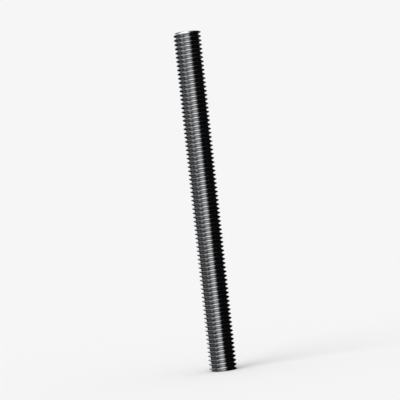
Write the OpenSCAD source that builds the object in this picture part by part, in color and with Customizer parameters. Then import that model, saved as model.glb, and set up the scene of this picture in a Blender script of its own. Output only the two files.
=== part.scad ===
// Threaded rod: a length of steel bar with a right-hand coarse screw thread from end to end.
// It stands on its lower end face, with its axis on Z and the origin at the middle of that face.

/* [Rod] */
// Length of the rod from end face to end face
rod_length = 120.5; // [20:0.5:180]
// Height and width of the small chamfer that deburring leaves round each end
deburr = 0.2; // [0.05:0.05:0.5]

/* [Thread] */
// Diameter over the thread's crests
crest_d = 9.85; // [8:0.05:12]
// Distance from one crest to the next, which is the rise of one turn
pitch = 1.5; // [1.25:0.05:2]
// Width of the flat on top of a crest
crest_flat = 0.22; // [0.12:0.01:0.4]
// Width of the flat at the bottom of a groove
root_flat = 0.23; // [0.1:0.01:0.4]
// Angle between the two flanks of a groove
flank_angle = 60; // [50:1:60]
// Height of the first crest above the lower end face, on the +X side
first_crest = 0.2; // [0:0.05:1.5]

/* [Smoothness] */
// Most triangles that the thread's surface may take, shared out over its turns
thread_triangles = 10100; // [7000:100:10100]

/* [Hidden] */
steel = "#a9abad";

// The flanks rise past the crest to a sharp edge, which the surface of the bar then cuts off.
flank_slope = tan(flank_angle / 2);
crest_r = crest_d / 2;
sharp_r = crest_r + crest_flat / 2 / flank_slope;
half_groove = (pitch - root_flat) / 2;
root_r = sharp_r - half_groove / flank_slope;

// One pitch of the profile as [radius, height above the crest], from a crest up to the next
profile = [
    [sharp_r, 0],
    [root_r, half_groove],
    [root_r, half_groove + root_flat],
];
profile_points = len(profile);

// The thread starts two turns below the bar and ends above it, so that the bar's end faces cut it square.
turns_below = 2;
turns = turns_below + ceil((rod_length - first_crest) / pitch) + 1;
column = turns * profile_points;
facets_per_turn = floor(thread_triangles / (2 * column));

// Point number i of the column of points that stands at one step round the axis
function thread_point(step, i) =
    let (
        p = profile[i % profile_points],
        angle = 360 * step / facets_per_turn,
        turn = floor(i / profile_points) + step / facets_per_turn - turns_below
    )
    [p[0] * cos(angle), p[0] * sin(angle), first_crest + turn * pitch + p[1]];

// Index of a point; past the last step the thread meets the first column one turn further up.
function index(step, i) =
    step < facets_per_turn ? step * column + i : i + profile_points;

module sharp_thread() {
    last = facets_per_turn - 1;
    foot = facets_per_turn * column;
    head = foot + 1;
    points = [
        for (step = [0 : last], i = [0 : column - 1]) thread_point(step, i),
        [0, 0, first_crest - (turns_below + 1) * pitch],
        [0, 0, first_crest + (turns - turns_below + 2) * pitch],
    ];
    walls = [
        for (step = [0 : last], i = [0 : column - 2 - (step == last ? profile_points : 0)])
        each [
            [index(step, i), index(step, i + 1), index(step + 1, i)],
            [index(step, i + 1), index(step + 1, i + 1), index(step + 1, i)],
        ],
    ];
    bottom_rim = [
        for (step = [0 : last]) index(step, 0),
        for (i = [profile_points : -1 : 0]) index(0, i),
    ];
    top_rim = [
        for (step = [0 : last]) index(step, column - 1),
        for (i = [1 : profile_points]) index(last, column - 1 - i),
        index(0, column - 1),
    ];
    caps = [
        for (k = [0 : len(bottom_rim) - 2]) [foot, bottom_rim[k], bottom_rim[k + 1]],
        for (k = [0 : len(top_rim) - 2]) [head, top_rim[k + 1], top_rim[k]],
    ];
    polyhedron(points, concat(walls, caps), convexity = 10);
}

// The bar before threading: a round with its two edges broken
module deburred_bar() {
    rotate_extrude($fn = 96)
        polygon([
            [0, 0],
            [crest_r - deburr, 0],
            [crest_r, deburr],
            [crest_r, rod_length - deburr],
            [crest_r - deburr, rod_length],
            [0, rod_length],
        ]);
}

module threaded_rod() {
    color(steel)
        intersection() {
            deburred_bar();
            sharp_thread();
        }
}

threaded_rod();
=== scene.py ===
# %% [markdown]
# # A short length of threaded rod
# This is a bar of bright steel, 10 mm thick, with a screw thread from end to end. It stands on its
# sawn end. The rod itself is one piece, so the whole lesson is about one surface, the helix of
# the thread, and about how bare metal gets its looks from what stands round it.

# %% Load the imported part
import math

import bmesh
import bpy
import numpy as np
from mathutils import Matrix, Vector


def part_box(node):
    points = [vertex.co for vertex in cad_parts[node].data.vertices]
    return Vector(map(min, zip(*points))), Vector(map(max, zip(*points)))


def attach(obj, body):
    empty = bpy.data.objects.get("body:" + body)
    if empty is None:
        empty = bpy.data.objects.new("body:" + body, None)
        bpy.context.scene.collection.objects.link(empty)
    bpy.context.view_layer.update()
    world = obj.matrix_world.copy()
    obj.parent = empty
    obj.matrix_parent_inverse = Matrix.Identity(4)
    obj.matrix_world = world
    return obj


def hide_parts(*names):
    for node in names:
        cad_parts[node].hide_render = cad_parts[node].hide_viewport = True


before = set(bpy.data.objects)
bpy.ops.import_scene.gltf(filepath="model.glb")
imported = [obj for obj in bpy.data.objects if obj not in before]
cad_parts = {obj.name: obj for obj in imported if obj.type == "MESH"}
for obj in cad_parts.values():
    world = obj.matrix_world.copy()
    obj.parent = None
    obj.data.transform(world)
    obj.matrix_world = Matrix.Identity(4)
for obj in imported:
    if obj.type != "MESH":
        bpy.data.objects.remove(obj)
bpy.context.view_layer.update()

MM = 0.001
NODE = "threaded_rod"
rod_low, rod_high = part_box(NODE)
rod_length = rod_high.z - rod_low.z
crest_r = (rod_high.x - rod_low.x) / 2
print(f"rod {rod_length / MM:.1f} mm long, {2 * crest_r / MM:.2f} mm over the crests")

# %% [markdown]
# ## The camera
# The camera comes first, because every later choice is judged through it. It stands half a metre
# from the rod, level with its middle. A long lens at that distance keeps the crests at the top and
# the bottom almost parallel, as the photograph shows them. The rod leans to the left in the
# picture, though it stands upright, so the camera is turned a little about its own axis.

# %% Place the camera
CAMERA_DISTANCE = 0.493
CAMERA_ROLL = math.radians(6.2)
SENSOR_WIDTH = 36.0
# The picture takes in this width at the rod, and this many of the photograph's pixels.
FRAME_WIDTH = 142.0 * MM
FRAME_PIXELS = 400
# The rod's middle lies so many pixels off the middle of the picture.
ROD_RIGHT_OF_CENTRE = 5.05
ROD_BELOW_CENTRE = 1.2

pixel = FRAME_WIDTH / FRAME_PIXELS
camera_data = bpy.data.cameras.new("camera")
camera_data.sensor_width = SENSOR_WIDTH
camera_data.lens = SENSOR_WIDTH * CAMERA_DISTANCE / FRAME_WIDTH
camera = bpy.data.objects.new("camera", camera_data)
bpy.context.scene.collection.objects.link(camera)

camera_right = Vector((math.cos(CAMERA_ROLL), 0, -math.sin(CAMERA_ROLL)))
camera_up = Vector((math.sin(CAMERA_ROLL), 0, math.cos(CAMERA_ROLL)))
camera_back = Vector((0, -1, 0))
rod_middle = Vector((0, 0, rod_length / 2))
camera_place = (
    rod_middle
    + camera_back * CAMERA_DISTANCE
    - camera_right * ROD_RIGHT_OF_CENTRE * pixel
    + camera_up * ROD_BELOW_CENTRE * pixel
)
turn = Matrix((camera_right, camera_up, camera_back)).transposed().to_4x4()
camera.matrix_world = Matrix.Translation(camera_place) @ turn
bpy.context.scene.camera = camera
print(f"camera lens {camera_data.lens:.1f} mm, one pixel is {pixel / MM:.3f} mm at the rod")

# %% [markdown]
# ## The profile of the thread
# A coarse metric thread is a groove with flanks at 60 degrees to each other. On a real rod it is
# rolled: dies press the groove in and squeeze the metal up between them. So the crest keeps a
# narrow flat with soft edges, and the bottom of the groove is round. That outline could be drawn as
# a curve by hand. Here one pitch of it is worked out from the thread's sizes, which is exact, and
# its three curves are true arcs.

# %% Work out one pitch of the profile
PITCH = 1.5 * MM
CREST_FLAT = 0.22 * MM
ROOT_FLAT = 0.23 * MM
CREST_EDGE_R = 0.06 * MM
FIRST_CREST = 0.2 * MM
DEBURR = 0.2 * MM
HALF_ANGLE = math.radians(30)
TURN_OF_ARC = math.radians(60)
CORNER_POINTS = 3
ROOT_POINTS = 5

slope = math.tan(HALF_ANGLE)
sharp_root_r = crest_r + CREST_FLAT / 2 / slope - PITCH / 2 / slope
root_arc_r = ROOT_FLAT / 2 / slope
root_r = sharp_root_r + root_arc_r


def thread_profile():
    """Heights above a crest's middle and radii, over one pitch.

    A corner arc of radius e between the crest flat and a flank is centred at radius crest - e and
    spans 0 to 60 degrees. The root arc of radius q touches both flanks, which puts its centre at
    the radius where the flanks would meet plus 2 q, and it spans -60 to 60 degrees."""
    corner = np.linspace(0, TURN_OF_ARC, CORNER_POINTS)
    middle = CREST_FLAT / 2 - CREST_EDGE_R * math.tan(TURN_OF_ARC / 2)
    crest_u = middle + CREST_EDGE_R * np.sin(corner)
    corner_r = crest_r - CREST_EDGE_R + CREST_EDGE_R * np.cos(corner)
    valley = np.linspace(-TURN_OF_ARC, TURN_OF_ARC, ROOT_POINTS)
    valley_u = PITCH / 2 + root_arc_r * np.sin(valley)
    valley_r = sharp_root_r + 2 * root_arc_r - root_arc_r * np.cos(valley)
    heights = np.concatenate([crest_u, valley_u, PITCH - crest_u[::-1]])
    radii = np.concatenate([corner_r, valley_r, corner_r[::-1]])
    return heights, radii


profile_u, profile_r = thread_profile()
print(f"{len(profile_u)} points to a pitch, root diameter {2 * root_r / MM:.2f} mm")

# %% [markdown]
# ## The helix as one grid
# The thread could be a twisted extrusion or a Screw modifier, but then its ends would have to be
# cut afterwards. Here the surface is a grid: columns go round the rod, rows go up it, and each
# column starts a little higher than the one before, by one pitch in a full turn. The grid starts
# two turns too low and ends too high. Points that fall below or above the rod are moved to the end
# face, and take the radius that the thread has at that height, so the thread runs out of the end
# face as on a rod that was simply cut off.

# %% Work out the threaded surface
COLUMNS = 96
TURNS_BELOW = 2


def radius_at(height, angle):
    """Radius of the surface at a height and an angle round the axis.

    The height above a crest is (height - first crest - pitch x angle / full turn), which is looked
    up in the profile modulo the pitch. Near an end the chamfer caps the radius."""
    above_crest = height - FIRST_CREST - PITCH * angle / math.tau
    radius = np.interp(above_crest, profile_u, profile_r, period=PITCH)
    from_end = np.minimum(height, rod_length - height)
    return np.minimum(radius, crest_r - DEBURR + from_end)


def thread_grid():
    """Grid of points (row, column, xyz) and its helical coordinates (row, column, 2).

    x = r cos a, y = r sin a, z = first crest + pitch x (turn + a / full turn) + u, with z held
    between the end faces. The second array has the path along the helix, crest radius x (a + full
    turn x turn), and the height u above the crest."""
    turns = TURNS_BELOW + math.ceil(rod_length / PITCH) + 1
    angle = np.linspace(0, math.tau, COLUMNS + 1)[None, :]
    turn = np.repeat(np.arange(turns) - TURNS_BELOW, len(profile_u))[:, None]
    u = np.tile(profile_u, turns)[:, None]
    free_z = FIRST_CREST + PITCH * (turn + angle / math.tau) + u
    z = np.clip(free_z, 0, rod_length)
    r = radius_at(z, angle)
    points = np.stack([r * np.cos(angle), r * np.sin(angle), z], axis=-1)
    path = crest_r * (angle + math.tau * turn)
    helical = np.stack([path, np.broadcast_to(u, path.shape)], axis=-1)
    return points, helical


def grid_quads(rows, columns, first=0):
    """Corner numbers of the quads of a grid that is stored row after row."""
    corner = (np.arange(rows - 1)[:, None] * columns + np.arange(columns - 1)[None, :]).ravel()
    return first + np.stack([corner, corner + 1, corner + columns + 1, corner + columns], axis=-1)


thread_points, thread_helical = thread_grid()
print(f"thread grid of {thread_points.shape[0]} rows by {thread_points.shape[1]} columns")

# %% [markdown]
# ## The sawn ends
# An end face is a disc whose rim is the thread's own outline at that height. One face with all
# those corners would close it, but it would be split into long slivers. Rings that shrink towards
# the middle keep its faces well shaped, and the outermost one is the thread's own last row.

# %% Work out the end faces
END_RINGS = 8


def end_grid(rim):
    """Rings from a rim of points (column, xyz) to its middle: each ring is the rim times a factor."""
    factor = np.linspace(1, 0, END_RINGS + 1)[:, None, None]
    points = rim[None, :, :] * factor
    points[:, :, 2] = rim[0, 2]
    return points


bottom_points = end_grid(thread_points[0])
top_points = end_grid(thread_points[-1])

# %% [markdown]
# ## One mesh with a map along the helix
# A rod is one piece of steel, so the three grids go into one mesh. Its faces know whether they are
# thread or sawn end, which later gives each its own steel. Rolling marks follow the helix, so the
# mesh also gets a UV map that is unrolled along it: U is the way along the crest and V the height
# above it. The usual unwrapping of a cylinder has a seam down its whole length, and streaks would
# break there. Here the only seam runs beside the crest, along the helix, as the streaks do.

# %% Join the three grids
THREAD, SAWN = 0, 1


def helical_uv(wall, columns):
    """UV of each corner (face, corner, 2): the path along the helix and the height u.

    A face that lies on a crest has its upper corners on the next turn, whose path is a full turn
    further on and whose u starts again at 0. There they get path - circumference and u + pitch, so
    that the pattern runs straight over the crest and its middle is at u = pitch."""
    uv = thread_helical.reshape(-1, 2)[wall]
    row_in_turn = wall[:, 0] // columns % len(profile_u)
    on_crest = row_in_turn == len(profile_u) - 1
    uv[on_crest, 2:] += (-math.tau * crest_r, PITCH)
    return uv


def rod_mesh():
    """One closed mesh of the thread and both end faces, with a UV map along the helix."""
    rows, columns = thread_points.shape[:2]
    grids = (thread_points, bottom_points, top_points)
    points = np.concatenate([grid.reshape(-1, 3) for grid in grids])
    first_bottom = rows * columns
    first_top = first_bottom + (END_RINGS + 1) * columns
    wall = grid_quads(rows, columns)
    bottom = grid_quads(END_RINGS + 1, columns, first_bottom)
    top = grid_quads(END_RINGS + 1, columns, first_top)
    quads = np.concatenate([wall, bottom[:, ::-1], top])
    mesh = bpy.data.meshes.new("rod")
    mesh.from_pydata(points, [], quads.tolist())
    uv = np.zeros((len(quads), 4, 2))
    uv[: len(wall)] = helical_uv(wall, columns)
    mesh.uv_layers.new(name="helix").data.foreach_set("uv", uv.ravel())
    material = np.full(len(quads), SAWN, dtype=np.int32)
    material[: len(wall)] = THREAD
    mesh.polygons.foreach_set("material_index", material)
    return mesh


mesh = rod_mesh()
print(f"three grids joined, {len(mesh.vertices)} points before welding")

# %% [markdown]
# ## Weld it and keep its edges crisp
# Where grids meet, and where rows were moved to an end face, some points lie on each other, so
# doubles are merged and the empty faces go with them. A real thread has long straight flanks and
# narrow soft edges. More points round the edges would show that too, but smooth shading with
# weighted normals does it with few. The rim of each end face is marked sharp all round: a flank
# meets the face at 30 degrees only, as flat an angle as those inside the thread's arcs, so an angle
# limit alone would smooth it.

# %% Weld the mesh
MERGE_DISTANCE = 0.002 * MM


def weld(mesh):
    """Merges doubles, which also removes faces without an area, points all faces outwards, and
    counts the edges that are left open."""
    shell = bmesh.new()
    shell.from_mesh(mesh)
    bmesh.ops.remove_doubles(shell, verts=shell.verts, dist=MERGE_DISTANCE)
    bmesh.ops.recalc_face_normals(shell, faces=shell.faces)
    open_edges = sum(1 for edge in shell.edges if not edge.is_manifold)
    shell.to_mesh(mesh)
    shell.free()
    return open_edges


open_edges = weld(mesh)
print(f"welded, with {open_edges} open edges")

# %% Mark the edges that stay sharp
SHARP_ANGLE = math.radians(40)


def read(collection, name, kind):
    """One property of all items of a mesh, as an array."""
    values = np.empty(len(collection), dtype=kind)
    collection.foreach_get(name, values)
    return values


def rim_edges(mesh):
    """True for each edge that has the thread on one side and an end face on the other."""
    corners = read(mesh.polygons, "loop_total", np.int32)
    corner_material = np.repeat(read(mesh.polygons, "material_index", np.int32), corners)
    corner_edge = read(mesh.loops, "edge_index", np.int32)
    thread_side, sawn_side = np.zeros((2, len(mesh.edges)), dtype=bool)
    thread_side[corner_edge[corner_material == THREAD]] = True
    sawn_side[corner_edge[corner_material == SAWN]] = True
    return thread_side & sawn_side


mesh.polygons.foreach_set("use_smooth", np.ones(len(mesh.polygons), dtype=bool))
mesh.set_sharp_from_angle(angle=SHARP_ANGLE)
creases = mesh.attributes["sharp_edge"].data
sharp = read(creases, "value", bool) | rim_edges(mesh)
creases.foreach_set("value", sharp)
print(f"{sharp.sum()} of {len(mesh.edges)} edges stay sharp")

# %% Put the rod in its place
rod = bpy.data.objects.new("rod", mesh)
bpy.context.scene.collection.objects.link(rod)
weighted = rod.modifiers.new("straight_flanks", "WEIGHTED_NORMAL")
weighted.keep_sharp = True
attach(rod, "root")
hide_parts(NODE)
print(f"the rod stands in for {NODE} with {len(mesh.polygons)} faces")

# %% [markdown]
# ## Bright steel
# Bare steel has no colour of its own to paint: its looks come from reflections. The shader is a
# full metal with a nearly neutral grey. It is smooth where the crests are rubbed and duller in the
# grooves, where its colour is also darkened as painted shade. A photograph of steel wrapped round
# the rod would freeze its highlights, so each finish is worked out by shader nodes. These helpers
# keep the node trees short to write and to read.

# %% Helpers for shader nodes
MAP_RANGE_SOCKETS = ("From Min", "From Max", "To Min", "To Max")


def new_material(name):
    """A new material and its Principled shader."""
    material = bpy.data.materials.new(name)
    material.use_nodes = True
    return material, material.node_tree.nodes["Principled BSDF"]


def add_node(owner, kind, **settings):
    """Adds a shader node to a material or the world, and sets its properties by name."""
    node = owner.node_tree.nodes.new(kind)
    for name, value in settings.items():
        setattr(node, name, value)
    return node


def wire(owner, *pairs):
    """Links each (output socket, input socket) pair."""
    for start, end in pairs:
        owner.node_tree.links.new(start, end)


def map_range(owner, source, low, high, to_low, to_high):
    """Maps low..high of a value to to_low..to_high, clamped."""
    node = add_node(owner, "ShaderNodeMapRange")
    for socket, value in zip(MAP_RANGE_SOCKETS, (low, high, to_low, to_high)):
        node.inputs[socket].default_value = value
    wire(owner, (source, node.inputs["Value"]))
    return node.outputs["Result"]


def combine(owner, operation, first, second):
    """The sum or difference of two values, held between 0 and 1."""
    node = add_node(owner, "ShaderNodeMath", operation=operation, use_clamp=True)
    wire(owner, (first, node.inputs[0]), (second, node.inputs[1]))
    return node.outputs["Value"]


def noise(material, vector, grain, detail, angle=0):
    """A noise with a grain of the given length along X, Y and Z, turned by an angle about Z."""
    fit = add_node(material, "ShaderNodeMapping", vector_type="TEXTURE")
    fit.inputs["Scale"].default_value = grain
    fit.inputs["Rotation"].default_value = (0, 0, angle)
    node = add_node(material, "ShaderNodeTexNoise")
    node.inputs["Scale"].default_value = 1.0
    node.inputs["Detail"].default_value = detail
    wire(material, (vector, fit.inputs["Vector"]), (fit.outputs["Vector"], node.inputs["Vector"]))
    return node.outputs["Fac"]


def bump(material, height, depth, strength):
    """A bump node that makes a relief of the given depth and strength from a height."""
    node = add_node(material, "ShaderNodeBump")
    node.inputs["Distance"].default_value = depth
    node.inputs["Strength"].default_value = strength
    wire(material, (height, node.inputs["Height"]))
    return node


# %% [markdown]
# ## Rubbed crests, painted shade in the grooves, and the seam
# Whatever touches a thread touches its crests, which are rubbed almost to a mirror, while the
# flanks and the grooves stay a little duller and are darkened by painted shade. Rolling leaves a
# hair-thin seam on top of each crest, where the metal that rose from both sides met. Both could be
# painted on the mesh's points, but the seam is finer than their spacing. So the crest is told by its
# distance from the axis, and the seam by the helix map, on which it is a straight line.

# %% Tell the crests from the grooves
SHADE_AND_WEAR_FROM = 0.82
SHADE_AND_WEAR_TO = 0.95
SEAM_HALF_WIDTH = 0.016 * MM
SEAM_WANDER = 0.05 * MM
SEAM_SHADE = 0.7


def groove_shade_and_crest_wear(steel, place):
    """0 in the groove and 1 on the crest: the distance from the axis, as a share of the thread's
    depth, mapped from SHADE_AND_WEAR_FROM..SHADE_AND_WEAR_TO. Low values give the groove its painted
    shade, high ones give the crest its smoother wear."""
    flat = add_node(steel, "ShaderNodeVectorMath", operation="MULTIPLY")
    flat.inputs[1].default_value = (1, 1, 0)
    reach = add_node(steel, "ShaderNodeVectorMath", operation="LENGTH")
    wire(steel, (place, flat.inputs[0]), (flat.outputs["Vector"], reach.inputs[0]))
    depth = crest_r - root_r
    low, high = root_r + SHADE_AND_WEAR_FROM * depth, root_r + SHADE_AND_WEAR_TO * depth
    return map_range(steel, reach.outputs["Value"], low, high, 0, 1)


def crest_seam(steel, helix, wobble):
    """SEAM_SHADE on the seam's line, falling to 0 at its half width.

    The line is where the helix UV has u = pitch, moved to either side by the wobble."""
    across = add_node(steel, "ShaderNodeSeparateXYZ")
    line = map_range(steel, wobble, 0, 1, PITCH - SEAM_WANDER / 2, PITCH + SEAM_WANDER / 2)
    offset = add_node(steel, "ShaderNodeMath", operation="SUBTRACT")
    distance = add_node(steel, "ShaderNodeMath", operation="ABSOLUTE")
    wire(
        steel,
        (helix, across.inputs["Vector"]),
        (across.outputs["Y"], offset.inputs[0]),
        (line, offset.inputs[1]),
        (offset.outputs["Value"], distance.inputs[0]),
    )
    return map_range(steel, distance.outputs["Value"], 0, SEAM_HALF_WIDTH, SEAM_SHADE, 0)


# %% [markdown]
# ## The steel of the thread
# On the crests the steel is pale and sharp. In the grooves it is a little duller, and its colour is
# darker as painted shade. The dies also drag fine streaks along the helix: a noise that is stretched
# forty times along U gives them, and a round one in the rod's own space adds soft patches of wear.
# Both are relief as well, far too shallow to be worth a mesh.

# %% Make the steel of the thread
CREST_STEEL = (0.80, 0.81, 0.835, 1)
# The groove's colour is darker than the crest's as painted shade.
GROOVE_STEEL_SHADED = (0.41, 0.415, 0.425, 1)
GROOVE_ROUGHNESS = 0.075
CREST_ROUGHNESS = 0.045
STREAK_GRAIN = (3.3 * MM, 0.083 * MM, 1)
STREAK_DETAIL = 3
STREAK_DEPTH = 0.02 * MM
STREAK_STRENGTH = 0.4
PATCH_GRAIN = (2.4 * MM, 2.4 * MM, 2.4 * MM)
PATCH_DETAIL = 4
PATCH_RANGE = (0.35, 0.7)
PATCH_DULLING = (-0.02, 0.03)
DENT_DEPTH = 0.08 * MM
DENT_STRENGTH = 0.1


def thread_steel():
    """Rolled bright steel: duller in the groove and darkened there by painted shade, streaked along the
    helix.
    """
    steel, shader = new_material("rolled_steel")
    place = add_node(steel, "ShaderNodeTexCoord").outputs["Object"]
    helix = add_node(steel, "ShaderNodeUVMap", uv_map="helix").outputs["UV"]
    streaks = noise(steel, helix, STREAK_GRAIN, STREAK_DETAIL)
    patches = noise(steel, place, PATCH_GRAIN, PATCH_DETAIL)

    shade_and_wear = combine(steel, "SUBTRACT", groove_shade_and_crest_wear(steel, place), crest_seam(steel, helix, patches))
    # Painted shade: the grooves take the darker steel colour, the crests the pale one.
    tint = add_node(steel, "ShaderNodeMix", data_type="RGBA")
    tint.inputs["A"].default_value = GROOVE_STEEL_SHADED
    tint.inputs["B"].default_value = CREST_STEEL
    wire(steel, (shade_and_wear, tint.inputs["Factor"]), (tint.outputs["Result"], shader.inputs["Base Color"]))

    worn = map_range(steel, shade_and_wear, 0, 1, GROOVE_ROUGHNESS, CREST_ROUGHNESS)
    dull = map_range(steel, patches, *PATCH_RANGE, *PATCH_DULLING)
    wire(steel, (combine(steel, "ADD", worn, dull), shader.inputs["Roughness"]))

    dents = bump(steel, patches, DENT_DEPTH, DENT_STRENGTH)
    marks = bump(steel, streaks, STREAK_DEPTH, STREAK_STRENGTH)
    wire(
        steel,
        (dents.outputs["Normal"], marks.inputs["Normal"]),
        (marks.outputs["Normal"], shader.inputs["Normal"]),
    )
    shader.inputs["Metallic"].default_value = 1.0
    return steel


mesh.materials.append(thread_steel())
print("rolled steel made")

# %% [markdown]
# ## The sawn ends' steel
# A saw leaves fine lines across the end, nearly parallel and of uneven depth. A noise that is
# squeezed in one direction gives them, in height for the relief and in roughness for the gleam. The
# end is darker than the crests, partly from the dullness of torn metal and partly as painted shade,
# which keeps the top end from clipping to white under the light above it.

# %% Make the steel of the ends
# Partly painted shade: darker than the sawn steel itself, so that the lit top end doesn't clip.
SAWN_STEEL_SHADED = (0.45, 0.455, 0.465, 1)
SAW_GRAIN = (4 * MM, 0.15 * MM, 1)
SAW_ANGLE = math.radians(24)
SAW_DETAIL = 4
SAW_DEPTH = 0.04 * MM
SAW_STRENGTH = 0.7
SAW_RANGE = (0.3, 0.7)
SAW_ROUGHNESS = (0.28, 0.46)


def end_steel():
    """Sawn steel: lines across the face, long in one direction and dense in the other."""
    steel, shader = new_material("sawn_steel")
    place = add_node(steel, "ShaderNodeTexCoord").outputs["Object"]
    lines = noise(steel, place, SAW_GRAIN, SAW_DETAIL, SAW_ANGLE)
    relief = bump(steel, lines, SAW_DEPTH, SAW_STRENGTH)
    gleam = map_range(steel, lines, *SAW_RANGE, *SAW_ROUGHNESS)
    wire(steel, (relief.outputs["Normal"], shader.inputs["Normal"]), (gleam, shader.inputs["Roughness"]))
    shader.inputs["Base Color"].default_value = SAWN_STEEL_SHADED
    shader.inputs["Metallic"].default_value = 1.0
    return steel


mesh.materials.append(end_steel())
print("sawn steel made")

# %% [markdown]
# ## Floor and daylight
# A pale floor under an even sky is the plainest studio there is. The floor is a large disc. It could
# curve up into a backdrop, but a backdrop has a side, and the rod is looked at from all round. A
# broad, weak sun from the upper left lets the rod cast a soft shadow, which sets it on the floor.

# %% Lay the floor
FLOOR_R = 2.5
FLOOR_COLUMNS = 64
FLOOR_TONE = 0.92

floor_angle = np.linspace(0, math.tau, FLOOR_COLUMNS, endpoint=False)
floor_level = np.zeros(FLOOR_COLUMNS)
floor_rim = np.stack([np.cos(floor_angle), np.sin(floor_angle), floor_level], axis=-1) * FLOOR_R
floor_mesh = bpy.data.meshes.new("floor")
floor_mesh.from_pydata(floor_rim, [], [list(range(FLOOR_COLUMNS))])
floor = bpy.data.objects.new("floor", floor_mesh)
bpy.context.scene.collection.objects.link(floor)
pale, pale_shader = new_material("pale_floor")
pale_shader.inputs["Base Color"].default_value = (FLOOR_TONE, FLOOR_TONE, FLOOR_TONE, 1)
pale_shader.inputs["Roughness"].default_value = 1.0
pale_shader.inputs["Specular IOR Level"].default_value = 0.0
floor_mesh.materials.append(pale)
print(f"floor laid, a disc of {FLOOR_R} m radius")

# %% Hang the sun
SUN_LEVEL = 0.2
SUN_WIDTH = math.radians(35)
SUN_BEARING = math.radians(-50)
SUN_HEIGHT = math.radians(50)

# A sun of strength pi lights a face that looks straight at it as a white sky of level 1 does.
sun_data = bpy.data.lights.new("sun", "SUN")
sun_data.energy = SUN_LEVEL * math.pi / math.sin(SUN_HEIGHT)
sun_data.angle = SUN_WIDTH
sun = bpy.data.objects.new("sun", sun_data)
sun_from = Vector((
    math.sin(SUN_BEARING) * math.cos(SUN_HEIGHT),
    -math.cos(SUN_BEARING) * math.cos(SUN_HEIGHT),
    math.sin(SUN_HEIGHT),
))
sun.rotation_euler = sun_from.to_track_quat("Z", "Y").to_euler()
# The metal doesn't mirror the sun, because the tent round the rod holds all its highlights.
sun.visible_glossy = False
bpy.context.scene.collection.objects.link(sun)
print(f"sun gives {SUN_LEVEL:.0%} of the floor's light")

# %% [markdown]
# ## A sky without a horizon
# Where the floor ends, the sky begins, and a line between them would cross the picture. So the
# camera, and whatever mirrors or lets through the sky, sees it in the tone that the lit floor has.
# Every other ray gets the sky's own level, which together with the sun's makes a plain 1.

# %% Light the sky
SKY_LEVEL = 0.8

background_level = FLOOR_TONE * (SKY_LEVEL + SUN_LEVEL)
world = bpy.data.worlds.new("daylight")
world.use_nodes = True
sky = world.node_tree.nodes["Background"]
sky.inputs["Color"].default_value = (1, 1, 1, 1)
rays = add_node(world, "ShaderNodeLightPath").outputs
mirrored = combine(world, "ADD", rays["Is Glossy Ray"], rays["Is Transmission Ray"])
seen = combine(world, "ADD", rays["Is Camera Ray"], mirrored)
strength = map_range(world, seen, 0, 1, SKY_LEVEL, background_level)
wire(world, (strength, sky.inputs["Strength"]))
# An even sky needs no map of where its light comes from.
world.cycles.sampling_method = "NONE"
bpy.context.scene.world = world
print(f"floor and background both at {background_level:.2f}")

# %% [markdown]
# ## A dark tent for the reflections
# Bare metal shows what stands round it, so its highlights tell where the light came from: a softbox
# at the camera's side, a ceiling that glows a little, a pale wall and a small lamp on the left,
# another lamp at the back on the left, and almost nothing on the right, where the rod is black. A
# mirror ball would record such a room. Here the room is a dark tent that only reflections see: a
# disc on the floor with a dome over it, as one grid of bearings and elevations. Each light is a
# product of two soft-edged windows, one in bearing and one in elevation, and their sum is stored on
# the tent's points, from where the material takes its glow.
#
# A round rod shows every bearing somewhere on its front, but what stands behind it only as a
# hairline at its edges. So a window straight behind and a roof on both sides can light the rod's
# back and its ends, and its front stays as it is. The tent's floor starts inside the rod's foot,
# so that no pale ring of the real floor shines up into the lowest grooves.

# %% Name the lights of the tent
# Each has a level, where 1 is white, and where it starts, is full, starts to fade and ends, first in
# bearing and then in elevation, in degrees. Bearings are 0 at the camera's side and grow to the right.
FROM_FLOOR = (-91, -90)
TO_ZENITH = (90, 91)
LIGHTS = {
    "softbox": (1.42, (-36, -8, 8, 28), (*FROM_FLOOR, 28, 36)),
    "ceiling": (0.75, (-60, -45, 10, 38), (28, 32, 80, 90)),
    "roof_left": (1.8, (-197, -184, -95, -80), (57, 67, *TO_ZENITH)),
    "roof_right": (0.35, (20, 45, 200, 215), (66, 73, *TO_ZENITH)),
    "left_wall": (0.27, (-140, -110, -60, -15), (*FROM_FLOOR, -10, 75)),
    "left_lamp": (1.2, (-74, -60, -50, -42), (22, 27, 34, 38)),
    "back_lamp": (1.4, (-175, -165, -158, -145), (6, 26, 70, 90)),
    "back_lamp_foot": (0.5, (-172, -166, -160, -154), (2, 8, 16, 24)),
    "back_wall": (0.35, (-158, -148, -112, -100), (20, 26, 46, 56)),
    "back_window": (0.8, (-195, -188, -172, -165), (*FROM_FLOOR, 8, 14)),
    "back_right": (0.15, (138, 144, 154, 160), (*FROM_FLOOR, 4, 10)),
    "right_wall": (0.01, (20, 34, 130, 160), (*FROM_FLOOR, *TO_ZENITH)),
}

# %% Work out the tent's shape and glow
TENT_R = 350 * MM
TENT_LIFT = 0.05 * MM
TENT_FLOOR_R = (4 * MM, 30 * MM, 80 * MM, 160 * MM)
TENT_STEP = 2
FLOOR_SHARE = 0.75


def window(value, starts, full, fades, ends):
    """0 outside starts..ends, 1 within full..fades, and a straight ramp between them."""
    rise = np.clip((value - starts) / (full - starts), 0, 1)
    fall = np.clip((ends - value) / (ends - fades), 0, 1)
    return np.minimum(rise, fall)


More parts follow.
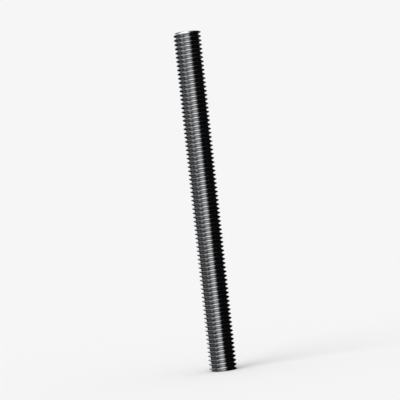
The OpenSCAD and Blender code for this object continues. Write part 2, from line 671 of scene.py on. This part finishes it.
def tent_grid():
    """Points (row, column, xyz) and glow (row, column) of the tent.

    A floor row of radius q has x = q sin b, y = -q cos b. A dome row of elevation e has the radius
    R cos e and the height R sin e. The glow is the sum over the lights of level x window in
    bearing x window in elevation, and the floor has a share of the glow at elevation 0. For each
    light, bearings are first moved by a full turn to within half a turn of its middle."""
    bearing = np.arange(-180, 180 + TENT_STEP, TENT_STEP, dtype=float)[None, :]
    elevation = np.arange(0, 90 + TENT_STEP, TENT_STEP, dtype=float)
    rise = np.radians(elevation)
    on_floor = np.zeros(len(TENT_FLOOR_R))
    reach = np.concatenate([TENT_FLOOR_R, TENT_R * np.cos(rise)])[:, None]
    height = np.concatenate([on_floor, TENT_R * np.sin(rise)])[:, None]
    x = reach * np.sin(np.radians(bearing))
    y = -reach * np.cos(np.radians(bearing))
    z = np.broadcast_to(TENT_LIFT + height, x.shape)
    points = np.stack([x, y, z], axis=-1)
    row_elevation = np.concatenate([on_floor, elevation])[:, None]
    share = np.concatenate([on_floor + FLOOR_SHARE, np.ones(len(elevation))])[:, None]
    glow = np.zeros(x.shape)
    for level, in_bearing, in_elevation in LIGHTS.values():
        middle = (in_bearing[1] + in_bearing[2]) / 2
        nearest = np.mod(bearing - middle + 180, 360) - 180 + middle
        glow += level * window(nearest, *in_bearing) * window(row_elevation, *in_elevation)
    return points, glow * share


tent_points, tent_glow = tent_grid()
tent_rows, tent_columns = tent_glow.shape
tent_mesh = bpy.data.meshes.new("tent")
tent_mesh.from_pydata(tent_points.reshape(-1, 3), [], grid_quads(tent_rows, tent_columns).tolist())
tent_mesh.attributes.new("glow", "FLOAT", "POINT").data.foreach_set("value", tent_glow.ravel())
tent = bpy.data.objects.new("tent", tent_mesh)
bpy.context.scene.collection.objects.link(tent)
for seen_by in ("camera", "diffuse", "transmission", "volume_scatter", "shadow"):
    setattr(tent, "visible_" + seen_by, False)
print(f"tent of {tent_rows} by {tent_columns} points, brightest glow {tent_glow.max():.2f}")

# %% [markdown]
# ## The tent's cloth
# On a real set this would be cloth or card with lamps behind it. Here it is an emission shader that
# takes its strength from the glow stored on the points, so one mesh holds all the lights. Lamps
# would each need a shape and a place, and would also light the floor.

# %% Let the tent glow
cloth = bpy.data.materials.new("glowing_cloth")
cloth.use_nodes = True
cloth.node_tree.nodes.clear()
stored = add_node(cloth, "ShaderNodeAttribute", attribute_name="glow")
emission = add_node(cloth, "ShaderNodeEmission")
cloth_output = add_node(cloth, "ShaderNodeOutputMaterial")
wire(
    cloth,
    (stored.outputs["Fac"], emission.inputs["Strength"]),
    (emission.outputs["Emission"], cloth_output.inputs["Surface"]),
)
# Mirrored rays find the cloth by themselves, so no ray is aimed at it as at a lamp.
cloth.cycles.emission_sampling = "NONE"
tent_mesh.materials.append(cloth)
print("tent glows in reflections only")

# %% [markdown]
# ## Finish
# The colours are shown as they are, without a film look.

# %% Finish
bpy.context.scene.view_settings.view_transform = "Standard"
bpy.context.view_layer.update()
